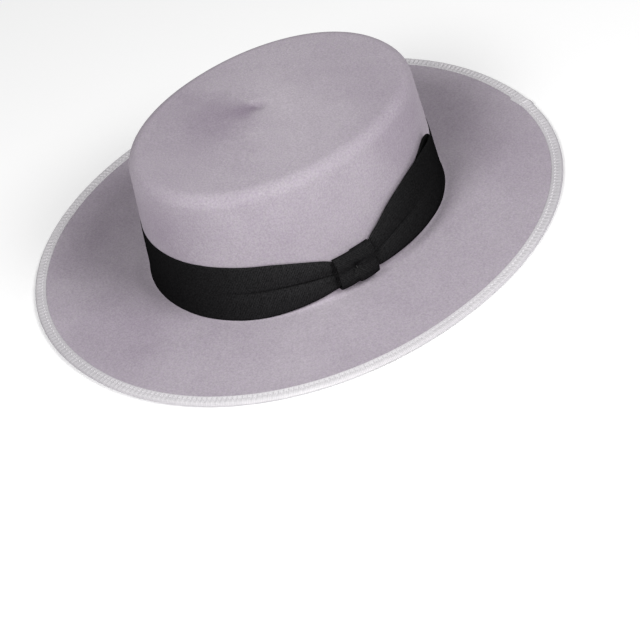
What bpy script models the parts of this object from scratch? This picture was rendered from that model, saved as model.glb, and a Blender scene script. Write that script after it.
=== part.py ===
"""Spanish riding hat: a flat-brimmed, flat-topped felt hat with a bound edge and a ribbon bow.

The hat rests on its brim. +Z is up, the front of the hat is at -Y and the wearer's left,
where the bow sits, at +X. The origin is under the middle of the brim, on the surface
that the brim rests on. A turn is an angle round the hat from +X towards the back.
"""

import math
from collections import namedtuple

import bmesh
import bpy
import numpy as np
from mathutils import Vector

MM = 0.001

# Materials' thickness and the room between pieces that are sewn together
FELT_WALL = 1.6 * MM
RIBBON_WALL = 1.0 * MM
CLEARANCE = 0.3 * MM

# Brim, measured over its binding
BRIM_LENGTH = 360.8 * MM
BRIM_WIDTH = 320.6 * MM
BINDING_REACH = 7.4 * MM
LAP_TURN = math.radians(76.5)
LAP_SPAN = math.radians(8.0)
LAP_STEP = 0.5 * MM

# Crown, measured outside the felt; its foot is where it meets the brim
CROWN_LENGTH = 205.0 * MM
CROWN_WIDTH = 169.0 * MM
CROWN_HEIGHT = 89.2 * MM
TAPER_LENGTH = 7.4 * MM
TAPER_WIDTH = 18.6 * MM
FRONT_RISE = 6.0 * MM
TIP_EDGE_RADIUS = 8.9 * MM
TIP_DOME = 1.2 * MM
BREAK_RADIUS = 1.0 * MM

# The small dent that the blocking leaves in the tip, to the right of its middle
DIMPLE_RIGHT = 9.3 * MM
DIMPLE_FRONT = 1.5 * MM
DIMPLE_RADIUS = 9.0 * MM
DIMPLE_DEPTH = 1.4 * MM

# Ribbon band and bow; lengths along the crown are walked along its foot
RIBBON_WIDTH = 41.0 * MM
BOW_TURN = math.radians(-9.7)
PINCH_REACH = 85.0 * MM
PINCH_SWELL = 1.6 * MM
LOOP_REACH = 80.0 * MM
LOOP_DEPTH = 2.8 * MM
LOOP_SWELL = 1.3 * MM
LOOP_TUCK = 6.0 * MM
KNOT_WIDTH = 27.0 * MM
KNOT_HEIGHT = 21.0 * MM
KNOT_FOOT = 3.8 * MM
KNOT_CORNER = 1.6 * MM
KNOT_STEP = 0.7 * MM
KNOT_SWELL = 0.5 * MM

# How square the ovals are, and how finely the round forms are cut into flats; the shares of
# the tip and of the dent are those at which a ring of points lies, from the outside inwards
OVAL_POWER = 2.08
SEGMENTS = 72
EDGE_STEPS = 5
WALL_STEPS = 3
TIP_SHARES = (0.75, 0.45, 0.15)
DENT_SHARES = (1.0, 0.55, 0.15)
HELD_SECTIONS = 4
WALK_STEPS = 1440
CRISP_FOLD = math.radians(35)

# Sizes that follow from the ones above
BRIM_TOP = RIBBON_WALL + CLEARANCE + FELT_WALL
EDGE_HEIGHT = BRIM_TOP + CLEARANCE + RIBBON_WALL
WALL_HEIGHT = CROWN_HEIGHT - TIP_EDGE_RADIUS
BAND_FOOT = BREAK_RADIUS
BAND_OUTSIDE = CLEARANCE + RIBBON_WALL
BACK_LAYER = BAND_OUTSIDE + CLEARANCE + RIBBON_WALL / 2
FRONT_LAYER = BACK_LAYER + RIBBON_WALL + CLEARANCE
KNOT_LAYER = FRONT_LAYER + RIBBON_WALL + CLEARANCE
KNOT_LOW = BAND_FOOT + KNOT_FOOT
KNOT_HIGH = KNOT_LOW + KNOT_HEIGHT

# The band on each side of the knot. Along is a share of PINCH_REACH from the knot's edge, low
# and high are the ribbon's edges as shares of RIBBON_WIDTH above the band's foot, held is how
# far the knot's own heights take over from these, and swell is the share of PINCH_SWELL by
# which the ribbon puffs on both sides of its crease.
BandRow = namedtuple("BandRow", "along low high held swell")
BAND_IN_FRONT = [
    BandRow(0.00, 0.090, 0.625, 1.0, 0.0),
    BandRow(0.05, 0.085, 0.655, 0.3, 0.5),
    BandRow(0.12, 0.070, 0.710, 0.0, 0.9),
    BandRow(0.22, 0.052, 0.782, 0.0, 1.0),
    BandRow(0.33, 0.036, 0.850, 0.0, 0.9),
    BandRow(0.46, 0.020, 0.910, 0.0, 0.7),
    BandRow(0.60, 0.006, 0.952, 0.0, 0.5),
    BandRow(0.77, 0.000, 0.980, 0.0, 0.2),
    BandRow(1.00, 0.000, 1.000, 0.0, 0.0),
]
BAND_BEHIND = [
    BandRow(0.00, 0.105, 0.620, 1.0, 0.0),
    BandRow(0.08, 0.095, 0.650, 0.2, 0.0),
    BandRow(0.22, 0.075, 0.790, 0.0, 0.0),
    BandRow(0.40, 0.055, 0.910, 0.0, 0.0),
    BandRow(0.60, 0.040, 0.970, 0.0, 0.0),
    BandRow(0.80, 0.015, 0.990, 0.0, 0.0),
    BandRow(1.00, 0.000, 1.000, 0.0, 0.0),
]

# The bow's loop, out along its front layer, round the fold and back along its back layer.
# Along is a share of LOOP_REACH from the knot's edge, low, high and held are as for the band,
# layer is 1 on the front layer and 0 on the back, out_low and out_high are the shares of
# LOOP_DEPTH that the edges stand out further, and swell is a share of LOOP_SWELL.
LoopRow = namedtuple("LoopRow", "along low high held layer out_low out_high swell")
LOOP = [
    LoopRow(0.000, 0.140, 0.680, 1.0, 1.0, 0.00, 0.00, 0.0),
    LoopRow(0.040, 0.136, 0.720, 0.2, 1.0, 0.15, 0.03, 0.4),
    LoopRow(0.130, 0.148, 0.825, 0.0, 1.0, 0.50, 0.08, 0.9),
    LoopRow(0.270, 0.166, 0.955, 0.0, 1.0, 0.80, 0.05, 1.0),
    LoopRow(0.430, 0.170, 1.060, 0.0, 1.0, 0.96, 0.03, 0.9),
    LoopRow(0.600, 0.176, 1.130, 0.0, 1.0, 1.00, 0.08, 0.8),
    LoopRow(0.770, 0.205, 1.172, 0.0, 1.0, 0.85, 0.30, 0.6),
    LoopRow(0.900, 0.245, 1.188, 0.0, 1.0, 0.55, 0.60, 0.3),
    LoopRow(0.975, 0.265, 1.192, 0.0, 1.0, 0.20, 0.55, 0.0),
    LoopRow(1.000, 0.270, 1.193, 0.0, 0.6, 0.10, 0.30, 0.0),
    LoopRow(0.980, 0.266, 1.190, 0.0, 0.1, 0.00, 0.06, 0.0),
    LoopRow(0.920, 0.245, 1.178, 0.0, 0.0, 0.00, 0.00, 0.0),
    LoopRow(0.780, 0.220, 1.120, 0.0, 0.0, 0.00, 0.00, 0.0),
    LoopRow(0.500, 0.200, 0.990, 0.0, 0.0, 0.00, 0.00, 0.0),
    LoopRow(0.250, 0.180, 0.830, 0.0, 0.0, 0.00, 0.00, 0.0),
    LoopRow(0.080, 0.145, 0.680, 0.2, 0.0, 0.00, 0.00, 0.0),
    LoopRow(0.000, 0.140, 0.650, 1.0, 0.0, 0.00, 0.00, 0.0),
]


def read_row(table, at):
    """Every column of a table at a fractional row number, on one smooth curve through its rows."""
    base = min(int(at), len(table) - 2)
    share = at - base
    last = len(table) - 1
    places = [min(max(base + step, 0), last) for step in (-1, 0, 1, 2)]
    before, start, end, after = (np.array(table[place]) for place in places)
    bend = (2 * before - 5 * start + 4 * end - after) * share ** 2
    twist = (3 * start - before - 3 * end + after) * share ** 3
    return type(table[0])(*(start + 0.5 * ((end - before) * share + bend + twist)))


def oval(length, width, turn):
    """Point at a turn round a flat oval that is a little squarer than an ellipse."""
    c, s = math.cos(turn), math.sin(turn)
    power = 2 / OVAL_POWER
    x = math.copysign(abs(c) ** power, c) * width / 2
    y = math.copysign(abs(s) ** power, s) * length / 2
    return Vector((x, y, 0))


def all_turns():
    return [math.tau * step / SEGMENTS for step in range(SEGMENTS)]


def wall_line(turn):
    """Foot and head of the crown's straight wall at one turn; the wall is higher at the front."""
    foot = oval(CROWN_LENGTH, CROWN_WIDTH, turn)
    head = oval(CROWN_LENGTH - TAPER_LENGTH, CROWN_WIDTH - TAPER_WIDTH, turn)
    foot.z = BRIM_TOP
    head.z = BRIM_TOP + WALL_HEIGHT + lean(foot.y)
    return foot, head


def lean(y):
    """Height that the tip gains towards the front and loses towards the back."""
    return -FRONT_RISE * y / CROWN_LENGTH


def on_wall(turn, height, out):
    """Point at a height above the brim, standing out from the crown's wall."""
    foot, head = wall_line(turn)
    slight = 0.01
    along = wall_line(turn + slight)[0] - wall_line(turn - slight)[0]
    face = along.cross(head - foot).normalized()
    return foot.lerp(head, height / (head.z - foot.z)) + face * out


def girth():
    """Turns round the crown's foot, and the way walked from the bow's middle to each of them."""
    turns = np.linspace(BOW_TURN - math.pi, BOW_TURN + math.pi, WALK_STEPS + 1)
    feet = np.array([wall_line(turn)[0] for turn in turns])
    walked = np.concatenate(([0], np.linalg.norm(np.diff(feet, axis=0), axis=1).cumsum()))
    return turns, walked - walked[-1] / 2


def turn_at(along, way):
    """Turn at a length along the crown's foot, from the bow's middle towards the back."""
    turns, walked = way
    return float(np.interp(along, walked, turns))


def loft(name, sections, closed, capped=False):
    """Sheet of faces through rows of points, which may close round and be capped at its end."""
    sheet = bmesh.new()
    rows = [[sheet.verts.new(point) for point in section] for section in sections]
    for here, there in zip(rows, rows[1:]):
        for i in range(len(here) if closed else len(here) - 1):
            j = (i + 1) % len(here)
            sheet.faces.new((here[i], here[j], there[j], there[i]))
    if capped:
        bmesh.ops.poke(sheet, faces=[sheet.faces.new(rows[-1])])
    mesh = bpy.data.meshes.new(name)
    sheet.to_mesh(mesh)
    sheet.free()
    return bpy.data.objects.new(name, mesh)


def thicken(piece, wall, side):
    """Gives a sheet its wall: side -1 grows inwards from its face, 0 to both sides."""
    solid = piece.modifiers.new("wall", "SOLIDIFY")
    solid.thickness = wall
    solid.offset = side
    solid.use_even_offset = True


def finish(piece, cloth, collection):
    """Smooth shading with crisp folds, the material, and a place in the hat's collection."""
    piece.data.shade_smooth()
    piece.data.set_sharp_from_angle(angle=CRISP_FOLD)
    piece.data.materials.append(cloth)
    collection.objects.link(piece)


def material(name, colour, roughness):
    """Plain cloth-like surface; none of the hat's pieces is metal."""
    new = bpy.data.materials.new(name)
    new.use_nodes = True
    shader = new.node_tree.nodes["Principled BSDF"]
    shader.inputs["Base Color"].default_value = (*colour, 1)
    shader.inputs["Roughness"].default_value = roughness
    shader.inputs["Metallic"].default_value = 0.0
    return new


def ring(length, width, height, leaning=False):
    """Oval ring of points at a height, level or leaning with the tip."""
    points = []
    for turn in all_turns():
        point = oval(length, width, turn)
        point.z = height + (lean(point.y) if leaning else 0)
        points.append(point)
    return points


def brim_rings():
    """The brim's top face, from its own edge inwards to the break."""
    reach = 2 * BREAK_RADIUS
    return [
        ring(BRIM_LENGTH - EDGE_HEIGHT, BRIM_WIDTH - EDGE_HEIGHT, BRIM_TOP),
        ring((BRIM_LENGTH + CROWN_LENGTH) / 2, (BRIM_WIDTH + CROWN_WIDTH) / 2, BRIM_TOP),
        ring(CROWN_LENGTH + reach, CROWN_WIDTH + reach, BRIM_TOP),
    ]


def wall_rings():
    """The crown's wall, from the top of the break to the foot of the rounded edge."""
    heights = np.linspace(BREAK_RADIUS, WALL_HEIGHT, WALL_STEPS + 1)[:-1]
    rings = [[on_wall(turn, height, 0) for turn in all_turns()] for height in heights]
    rings.append([wall_line(turn)[1] for turn in all_turns()])
    return rings


def edge_rings():
    """The rounded edge between the wall and the tip."""
    rings = []
    for step in range(1, EDGE_STEPS + 1):
        angle = math.pi / 2 * step / EDGE_STEPS
        inset = 2 * TIP_EDGE_RADIUS * (1 - math.cos(angle))
        height = BRIM_TOP + WALL_HEIGHT + TIP_EDGE_RADIUS * math.sin(angle)
        length = CROWN_LENGTH - TAPER_LENGTH - inset
        width = CROWN_WIDTH - TAPER_WIDTH - inset
        rings.append(ring(length, width, height, leaning=True))
    return rings


def tip_point(point):
    """Drops a point of the tip to its height: domed, and drawn down into the dent."""
    length = CROWN_LENGTH - TAPER_LENGTH
    width = CROWN_WIDTH - TAPER_WIDTH
    off_middle = (2 * point.x / width) ** 2 + (2 * point.y / length) ** 2
    off_dent = min((point - dent_middle()).length / DIMPLE_RADIUS, 1)
    sunk = DIMPLE_DEPTH * (1 + math.cos(math.pi * off_dent)) / 2
    height = BRIM_TOP + CROWN_HEIGHT + lean(point.y) + TIP_DOME * (1 - off_middle) - sunk
    return Vector((point.x, point.y, height))


def dent_middle():
    return Vector((-DIMPLE_RIGHT, -DIMPLE_FRONT, 0))


def tip_rings():
    """The tip: ovals that close in on the dent, then rings inside it."""
    length = CROWN_LENGTH - TAPER_LENGTH - 2 * TIP_EDGE_RADIUS
    width = CROWN_WIDTH - TAPER_WIDTH - 2 * TIP_EDGE_RADIUS
    dent_share = 2 * DIMPLE_RADIUS / width
    rings = []
    for way_out in TIP_SHARES:
        share = dent_share + (1 - dent_share) * way_out
        middle = dent_middle() * (1 - share)
        rings.append([tip_point(point + middle) for point in ring(length * share, width * share, 0)])
    for share in DENT_SHARES:
        across_dent = 2 * DIMPLE_RADIUS * share
        rings.append([tip_point(point + dent_middle()) for point in ring(across_dent, across_dent, 0)])
    return rings


def make_felt(felt, collection):
    """Crown and brim, blocked from one piece of felt, open underneath for the head."""
    sections = brim_rings() + wall_rings() + edge_rings() + tip_rings()
    body = loft("felt_body", sections, closed=True, capped=True)
    thicken(body, FELT_WALL, -1)
    finish(body, felt, collection)


def binding_section():
    """Ribbon folded round the brim's edge, as steps in from the edge and up from the rest."""
    radius = EDGE_HEIGHT / 2
    path = radius - RIBBON_WALL / 2
    section = [(BINDING_REACH, radius - path), ((BINDING_REACH + radius) / 2, radius - path)]
    for step in range(EDGE_STEPS + 1):
        angle = math.pi * step / EDGE_STEPS - math.pi / 2
        section.append((radius - path * math.cos(angle), radius + path * math.sin(angle)))
    section += [((BINDING_REACH + radius) / 2, radius + path), (BINDING_REACH, radius + path)]
    return section


def lap_rise(turn):
    """Height that one end of the binding gains over the other, eased over one flat at its ends."""
    inside = LAP_SPAN / 2 - abs(turn - LAP_TURN - LAP_SPAN / 2)
    return LAP_STEP * min(max(inside * SEGMENTS / math.tau + 0.5, 0), 1)


def make_binding(ribbon, collection):
    """Ribbon round the brim's edge; the hat rests on its flat underside."""
    sections = []
    for inset, height in binding_section():
        points = ring(BRIM_LENGTH - 2 * inset, BRIM_WIDTH - 2 * inset, height)
        if height > EDGE_HEIGHT / 2:
            for point, turn in zip(points, all_turns()):
                point.z += lap_rise(turn)
        sections.append(points)
    binding = loft("brim_binding", sections, closed=True)
    thicken(binding, RIBBON_WALL, 0)
    finish(binding, ribbon, collection)


def across(low, high, swell):
    """Heights and swells over a drawn-in ribbon: two puffs with the crease between them."""
    shares = (0.0, 0.25, 0.5, 0.75, 1.0)
    return [(low + (high - low) * share, swell * abs(math.sin(math.tau * share))) for share in shares]


def edges(row, held_low, held_high):
    """Heights of a ribbon's two edges: its own, or the knot's where the knot holds it."""
    low = BAND_FOOT + row.low * RIBBON_WIDTH
    high = BAND_FOOT + row.high * RIBBON_WIDTH
    return low + (held_low - low) * row.held, high + (held_high - high) * row.held


def band_column(row, along, way):
    """One section of the band, from its lower edge to its upper one."""
    fit = RIBBON_WALL / 2 + CLEARANCE
    low, high = edges(row, KNOT_LOW + fit, KNOT_HIGH - fit)
    turn = turn_at(along, way)
    swells = across(low, high, row.swell * PINCH_SWELL)
    return [on_wall(turn, height, BAND_OUTSIDE + swell) for height, swell in swells]


def beside_knot(table, side, way):
    """Sections of the band from the knot's edge outwards, on one side of it."""
    steps = 2 * (len(table) - 1)
    columns = []
    for step in range(steps + 1):
        row = read_row(table, step / 2)
        columns.append(band_column(row, side * (KNOT_WIDTH / 2 + row.along * PINCH_REACH), way))
    return columns


def make_band(ribbon, collection):
    """Ribbon round the crown, drawn together where the knot holds it."""
    way = girth()
    half = way[1][-1]
    knot_edge = KNOT_WIDTH / 2
    bow_end = knot_edge + PINCH_REACH
    under_knot = np.linspace(-knot_edge, knot_edge, HELD_SECTIONS + 2)[1:-1]
    columns = beside_knot(BAND_IN_FRONT, -1, way)[::-1]
    columns += [band_column(BAND_BEHIND[0], along, way) for along in under_knot]
    columns += beside_knot(BAND_BEHIND, 1, way)
    for along in np.linspace(bow_end, 2 * half - bow_end, SEGMENTS // 2)[1:-1]:
        columns.append(band_column(BAND_BEHIND[-1], along if along < half else along - 2 * half, way))
    band = loft("hat_band", list(zip(*columns)), closed=True)
    thicken(band, RIBBON_WALL, -1)
    finish(band, ribbon, collection)


def loop_column(row, along, way):
    """One section of the loop, from its lower edge to its upper one."""
    low, high = edges(row, KNOT_LOW + KNOT_CORNER, KNOT_HIGH - KNOT_CORNER)
    base = BACK_LAYER + row.layer * (FRONT_LAYER - BACK_LAYER)
    turn = turn_at(along, way)
    column = []
    for height, swell in across(low, high, row.swell * LOOP_SWELL):
        share = (height - low) / (high - low)
        out = row.out_low + (row.out_high - row.out_low) * share
        column.append(on_wall(turn, height, base + out * LOOP_DEPTH + swell))
    return column


def make_loop(ribbon, collection):
    """The bow's one loop: ribbon out along the crown, folded over and back to the knot."""
    way = girth()
    knot_edge = KNOT_WIDTH / 2
    columns = [loop_column(LOOP[0], knot_edge - LOOP_TUCK, way)]
    steps = 2 * (len(LOOP) - 1)
    for step in range(steps + 1):
        row = read_row(LOOP, step / 2)
        columns.append(loop_column(row, knot_edge + row.along * LOOP_REACH, way))
    columns.append(loop_column(LOOP[-1], knot_edge - LOOP_TUCK, way))
    loop = loft("bow_loop", list(zip(*columns)), closed=False)
    thicken(loop, RIBBON_WALL, 0)
    finish(loop, ribbon, collection)


def knot_section(step_out):
    """The knot's ribbon from below the band, over the front and in again above it."""
    low = KNOT_LOW - step_out
    high = KNOT_HIGH + step_out
    face = KNOT_LAYER + step_out
    rounding = [(1 - math.cos(angle), 1 - math.sin(angle)) for angle in (0, math.pi / 4, math.pi / 2)]
    lower = [(low, CLEARANCE)]
    lower += [(low + KNOT_CORNER * up, face - KNOT_CORNER * back) for up, back in rounding]
    upper = [(low + high - height, out) for height, out in reversed(lower)]
    return lower + [((low + high) / 2, face + KNOT_SWELL)] + upper


def make_knot(ribbon, collection):
    """Short ribbon wrapped over the drawn-in band and loop, its rear turn lapped on the front."""
    way = girth()
    edge = KNOT_WIDTH / 2
    lap = KNOT_STEP / 2
    places = [(-edge, 0), (-edge / 2, 0), (-lap, 0), (lap, 1), (edge / 2, 1), (edge, 1)]
    columns = []
    for along, lapped in places:
        section = knot_section(lapped * KNOT_STEP)
        turn = turn_at(along, way)
        columns.append([on_wall(turn, height, out) for height, out in section])
    knot = loft("bow_knot", list(zip(*columns)), closed=False)
    thicken(knot, RIBBON_WALL, 0)
    finish(knot, ribbon, collection)


def main():
    for old in list(bpy.data.objects):
        bpy.data.objects.remove(old, do_unlink=True)
    hat = bpy.data.collections.new("riding_hat")
    bpy.context.scene.collection.children.link(hat)
    felt = material("mauve_grey_felt", (0.40, 0.36, 0.41), 0.92)
    white = material("white_ribbon", (0.80, 0.78, 0.80), 0.75)
    black = material("black_ribbon", (0.012, 0.012, 0.014), 0.65)
    make_felt(felt, hat)
    make_binding(white, hat)
    make_band(black, hat)
    make_loop(black, hat)
    make_knot(black, hat)


main()
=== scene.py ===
# %% [markdown]
# A Spanish riding hat, one piece at a time
#
# The hat is a stiff felt crown and brim, blocked from a single hood of felt. A white ribbon is
# folded over the brim's edge and sewn down, and a black grosgrain ribbon goes round the crown,
# drawn together under a small bow with one loop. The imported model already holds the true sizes
# of these five pieces. This lesson dresses each of them: it lays a finer mesh in the same place
# and gives it a surface that behaves like the real cloth.

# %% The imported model
import math
from collections import namedtuple

import bpy
import numpy as np
from mathutils import Matrix, Vector, noise


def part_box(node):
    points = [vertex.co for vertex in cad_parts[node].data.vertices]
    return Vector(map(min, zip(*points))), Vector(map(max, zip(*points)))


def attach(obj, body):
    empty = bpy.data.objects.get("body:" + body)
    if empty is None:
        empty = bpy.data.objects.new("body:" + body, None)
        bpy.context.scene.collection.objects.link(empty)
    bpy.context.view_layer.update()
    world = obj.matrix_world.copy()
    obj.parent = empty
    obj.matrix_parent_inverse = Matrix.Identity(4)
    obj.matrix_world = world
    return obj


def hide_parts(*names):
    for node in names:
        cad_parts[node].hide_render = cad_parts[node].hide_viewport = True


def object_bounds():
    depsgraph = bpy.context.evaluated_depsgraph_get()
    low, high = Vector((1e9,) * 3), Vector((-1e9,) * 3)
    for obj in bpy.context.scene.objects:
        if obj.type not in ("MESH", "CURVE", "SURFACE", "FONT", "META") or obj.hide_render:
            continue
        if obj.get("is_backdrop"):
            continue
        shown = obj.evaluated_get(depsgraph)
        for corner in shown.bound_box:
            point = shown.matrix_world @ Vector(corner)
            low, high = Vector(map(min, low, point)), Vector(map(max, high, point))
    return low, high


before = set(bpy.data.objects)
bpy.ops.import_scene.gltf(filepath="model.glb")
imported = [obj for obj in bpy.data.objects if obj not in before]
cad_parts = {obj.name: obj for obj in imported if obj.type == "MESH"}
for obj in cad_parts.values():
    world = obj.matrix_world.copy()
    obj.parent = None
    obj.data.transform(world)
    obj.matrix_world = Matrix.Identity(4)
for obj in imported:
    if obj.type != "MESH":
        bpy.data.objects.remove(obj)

MM = 0.001
packed_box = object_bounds()
print("nodes:", sorted(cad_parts))

# %% [markdown]
# The hat lies brim down, its front towards -Y and the wearer's left, with the bow, towards +X.
# The brim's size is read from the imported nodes. The crown's foot is hidden inside its node's
# box, so the crown's sizes are named, in millimetres, and the cell prints how well the height
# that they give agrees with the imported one.

# %% Sizes of the hat
felt_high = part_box("felt_body")[1]
edge_low, edge_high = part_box("brim_binding")
BRIM_LENGTH = edge_high.y - edge_low.y
BRIM_WIDTH = edge_high.x - edge_low.x
BRIM_TOP = 2.9 * MM
FELT_WALL = 1.6 * MM
CROWN_LENGTH = 205.0 * MM
CROWN_WIDTH = 169.0 * MM
CROWN_HEIGHT = 89.2 * MM
TAPER_LENGTH = 7.4 * MM
TAPER_WIDTH = 18.6 * MM
FRONT_RISE = 6.0 * MM
TIP_EDGE_RADIUS = 8.9 * MM
TIP_DOME = 1.2 * MM
WALL_HEIGHT = CROWN_HEIGHT - TIP_EDGE_RADIUS
OVAL_POWER = 2.08
front_top = BRIM_TOP + CROWN_HEIGHT + FRONT_RISE / 2
print(f"brim {BRIM_LENGTH:.4f} x {BRIM_WIDTH:.4f} m")
print(f"crown's front {front_top:.4f} of {felt_high.z:.4f} m")

# %% [markdown]
# Every outline seen from above is the same kind of oval, a little squarer than an ellipse. The
# crown's wall is a straight line from an oval at its foot to a smaller one at its top, and the
# top leans, so that the crown is higher in front than behind. Points are worked out for whole
# arrays of turns at once, which keeps fine meshes quick to make.

# %% Ovals and the crown's wall
def oval(length, width, turns):
    """Points at some turns, counted from +X towards the back, round a flat oval."""
    c, s = np.cos(turns), np.sin(turns)
    power = 2 / OVAL_POWER
    x = np.copysign(np.abs(c) ** power, c) * width / 2
    y = np.copysign(np.abs(s) ** power, s) * length / 2
    return np.stack([x, y, np.zeros_like(x)], axis=-1)


def lean(y):
    """Height that the tip gains towards the front and loses towards the back."""
    return -FRONT_RISE * y / CROWN_LENGTH


def wall_line(turns):
    """Foot and top of the crown's straight wall at some turns."""
    foot = oval(CROWN_LENGTH, CROWN_WIDTH, turns)
    top = oval(CROWN_LENGTH - TAPER_LENGTH, CROWN_WIDTH - TAPER_WIDTH, turns)
    foot[..., 2] = BRIM_TOP
    top[..., 2] = BRIM_TOP + WALL_HEIGHT + lean(foot[..., 1])
    return foot, top


def on_wall(turns, heights, out):
    """Points at some heights above the brim, standing out from the crown's wall."""
    turns, heights, out = np.broadcast_arrays(turns, heights, out)
    foot, top = wall_line(turns)
    slight = 0.01
    along = wall_line(turns + slight)[0] - wall_line(turns - slight)[0]
    face = np.cross(along, top - foot)
    face /= np.linalg.norm(face, axis=-1, keepdims=True)
    share = heights / (top[..., 2] - foot[..., 2])
    return foot + (top - foot) * share[..., None] + face * out[..., None]


bow_side = [on_wall(0.0, height, 0.0).round(4) for height in (0.0, WALL_HEIGHT)]
print("crown's wall at the bow's side:", *bow_side)

# %% [markdown]
# Each cloth piece is a grid of points turned into faces. A grid may close round on itself, and
# it carries a flat map of the cloth, in metres, so that a weave can follow the ribbon wherever
# it goes. Extra numbers for each point, such as how much painted shade a crease gets, go into
# named attributes that the materials can read.

# %% From a grid of points to a mesh
def walked(points, axis):
    """Length walked along one axis of a grid, from its first point."""
    steps = np.linalg.norm(np.diff(points, axis=axis), axis=-1)
    start = np.zeros_like(steps.take([0], axis=axis))
    return np.concatenate([start, steps.cumsum(axis=axis)], axis=axis)


def cloth_map(points, around, over):
    """Each corner's place on the cloth, in metres along and across it."""
    closed = np.concatenate([points, points[:, :1]], axis=1) if around else points
    closed = np.concatenate([closed, closed[:1]], axis=0) if over else closed
    return np.stack([walked(closed, 1), walked(closed, 0)], axis=-1)


def add_piece(name, places, faces):
    """Links a new object with a smooth mesh."""
    mesh = bpy.data.meshes.new(name)
    mesh.from_pydata(places, [], faces)
    mesh.shade_smooth()
    piece = bpy.data.objects.new(name, mesh)
    bpy.context.collection.objects.link(piece)
    return piece


def grid_mesh(name, points, around=False, over=False, tip=False, flat=None, marks=None):
    """Object with a quad for each square of a grid of points.

    The columns may close around and the rows over, and the last row may close to a tip. flat is
    the cloth map, where it isn't simply walked along the grid, and marks are extra numbers.
    """
    rows, columns = points.shape[:2]
    flat = cloth_map(points, around, over) if flat is None else flat
    spans = np.arange(rows if over else rows - 1), np.arange(columns if around else columns - 1)
    r, c = np.meshgrid(*spans, indexing="ij")
    corner_rows = np.stack([r, r, r + 1, r + 1], axis=-1).reshape(-1, 4)
    corner_columns = np.stack([c, c + 1, c + 1, c], axis=-1).reshape(-1, 4)
    faces = (corner_rows % rows * columns + corner_columns % columns).tolist()
    places = points.reshape(-1, 3).tolist()
    on_cloth = flat[corner_rows, corner_columns].reshape(-1, 2)
    if tip:
        last_row = (rows - 1) * columns
        for column in range(columns):
            faces.append((last_row + column, last_row + (column + 1) % columns, len(places)))
        places.append(points[-1].mean(axis=0).tolist())
        on_cloth = np.concatenate([on_cloth, np.repeat(flat[-1, :columns], 3, axis=0)])
    piece = add_piece(name, places, faces)
    layer = piece.data.uv_layers.new(name="cloth")
    layer.uv.foreach_set("vector", on_cloth.astype(np.float32).ravel())
    for label, values in (marks or {}).items():
        attribute = piece.data.attributes.new(label, "FLOAT", "POINT")
        attribute.data.foreach_set("value", values.astype(np.float32).ravel())
    return piece


# %% [markdown]
# A sheet gets its wall from a Solidify modifier, which keeps the modelled face where it is or
# grows to both sides of it. Every finished piece then takes its material, rides on the hat's one
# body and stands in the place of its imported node.

# %% Wall and place of a piece
INWARDS = -1
BOTH_WAYS = 0


def thicken(piece, wall, side):
    """Gives a sheet its wall, inwards from its face or to both sides of it."""
    solid = piece.modifiers.new("wall", "SOLIDIFY")
    solid.thickness = wall
    solid.offset = side
    solid.use_even_offset = True


def dress(piece, node, material):
    """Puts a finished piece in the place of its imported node."""
    piece.data.materials.append(material)
    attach(piece, "root")
    if node:
        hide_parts(node)
    size = tuple(round(side / MM, 1) for side in piece.dimensions)
    print(f"{piece.name}: {len(piece.data.polygons)} faces, {size} mm")


# %% [markdown]
# A material is a small graph of nodes. Written out link by link such a graph hides its sums, so
# one small class wraps an output and lets it be added, taken away, multiplied and divided like
# a number, and one method makes any other node. With them a finish reads as arithmetic.

# %% Shader maths as Python expressions
class Value:
    """An output of a node that works in sums with numbers and with other outputs."""

    def __init__(self, finish, socket):
        self.finish = finish
        self.socket = socket

    def maths(self, operation, *others, clamp=False):
        settings = {"operation": operation, "use_clamp": clamp}
        return self.finish.node("ShaderNodeMath", settings, dict(enumerate((self, *others))))

    def __add__(self, other):
        return self.maths("ADD", other)

    __radd__ = __add__

    def __mul__(self, other):
        return self.maths("MULTIPLY", other)

    __rmul__ = __mul__

    def __sub__(self, other):
        return self.maths("SUBTRACT", other)

    def __rsub__(self, other):
        return (self * -1).maths("ADD", other)

    def __truediv__(self, other):
        return self.maths("DIVIDE", other)

    def __pow__(self, other):
        return self.maths("POWER", other)

    def sine(self):
        return self.maths("SINE")

    def clamped(self):
        return self.maths("ADD", 0.0, clamp=True)

    def between(self, low, high):
        """0 below low, 1 above high, eased in between."""
        settings = {"interpolation_type": "SMOOTHSTEP"}
        sockets = {"Value": self, "From Min": low, "From Max": high}
        return self.finish.node("ShaderNodeMapRange", settings, sockets)


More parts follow.
